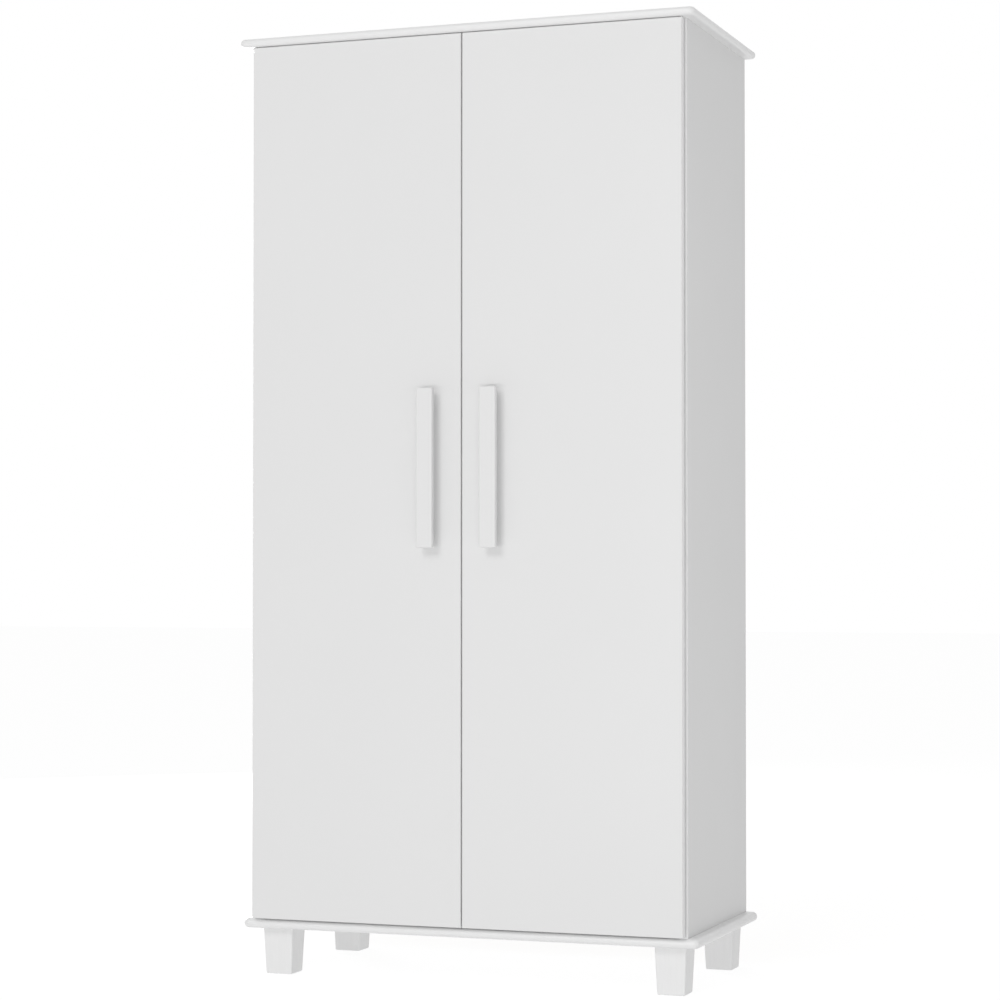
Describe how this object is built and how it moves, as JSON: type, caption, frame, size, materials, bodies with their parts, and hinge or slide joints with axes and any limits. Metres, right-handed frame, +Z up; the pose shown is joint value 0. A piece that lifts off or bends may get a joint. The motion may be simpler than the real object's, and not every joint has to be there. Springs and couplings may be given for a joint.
{
  "type": "pantry cabinet",
  "caption": "Tall white cupboard with a pair of hinged doors, bar handles, shelves inside, round-edged top and base boards and short tapered legs.",
  "frame": {"origin": "on the floor, in the middle of the overall box", "axes": "+Z up, doors face -Y, +X to the right of someone facing the doors"},
  "size_m": [0.899, 0.47, 1.782],
  "materials": {
    "white_laminate": "white melamine laminate on particle board, satin",
    "lacquered_wood": "white satin lacquer on solid wood",
    "white_hardboard": "white coated face on thin hardboard",
    "white_moulding": "white satin moulded plastic",
    "beech": "plain fluted beech dowel",
    "clear_rubber": "soft translucent polyurethane",
    "zinc_casting": "die cast zinc",
    "zinc_plated_steel": "bright zinc plate",
    "nickel_plated_steel": "nickel plate"
  },
  "bodies": {
    "case": {"top_board": "white_laminate", "base_board": "white_laminate", "left_side": "white_laminate", "right_side": "white_laminate", "fixed_shelf": "white_laminate", "loose_shelf_1": "white_laminate", "loose_shelf_2": "white_laminate", "loose_shelf_3": "white_laminate", "loose_shelf_4": "white_laminate", "shelf_pins": "nickel_plated_steel", "lower_back": "white_hardboard", "upper_back": "white_hardboard", "cam_locks": "zinc_casting", "cam_bolts": "zinc_plated_steel", "dowels": "beech", "front_left_leg": "lacquered_wood", "front_right_leg": "lacquered_wood", "rear_left_leg": "lacquered_wood", "rear_right_leg": "lacquered_wood", "leg_bolts": "zinc_plated_steel", "leg_inserts": "zinc_plated_steel", "door_stops": "clear_rubber", "left_hinge_arms": "nickel_plated_steel", "left_hinge_plates": "nickel_plated_steel", "left_hinge_plate_screws": "zinc_plated_steel", "right_hinge_arms": "nickel_plated_steel", "right_hinge_plates": "nickel_plated_steel", "right_hinge_plate_screws": "zinc_plated_steel"},
    "left_door": {"left_door": "white_laminate", "left_handle": "white_moulding", "left_handle_screws": "zinc_plated_steel", "left_hinge_cups": "nickel_plated_steel", "left_hinge_cup_screws": "zinc_plated_steel", "left_hinge_pins": "nickel_plated_steel"},
    "right_door": {"right_door": "white_laminate", "right_handle": "white_moulding", "right_handle_screws": "zinc_plated_steel", "right_hinge_cups": "nickel_plated_steel", "right_hinge_cup_screws": "zinc_plated_steel", "right_hinge_pins": "nickel_plated_steel"}
  },
  "joints": [
    {"name": "left_door_swing", "type": "hinge", "parent": "case", "child": "left_door", "pos_m": [-0.4149, -0.196, 0.938], "axis": [0, 0, -1], "range_deg": [0, 95]},
    {"name": "right_door_swing", "type": "hinge", "parent": "case", "child": "right_door", "pos_m": [0.4149, -0.196, 0.938], "axis": [0, 0, 1], "range_deg": [0, 95]}
  ]
}
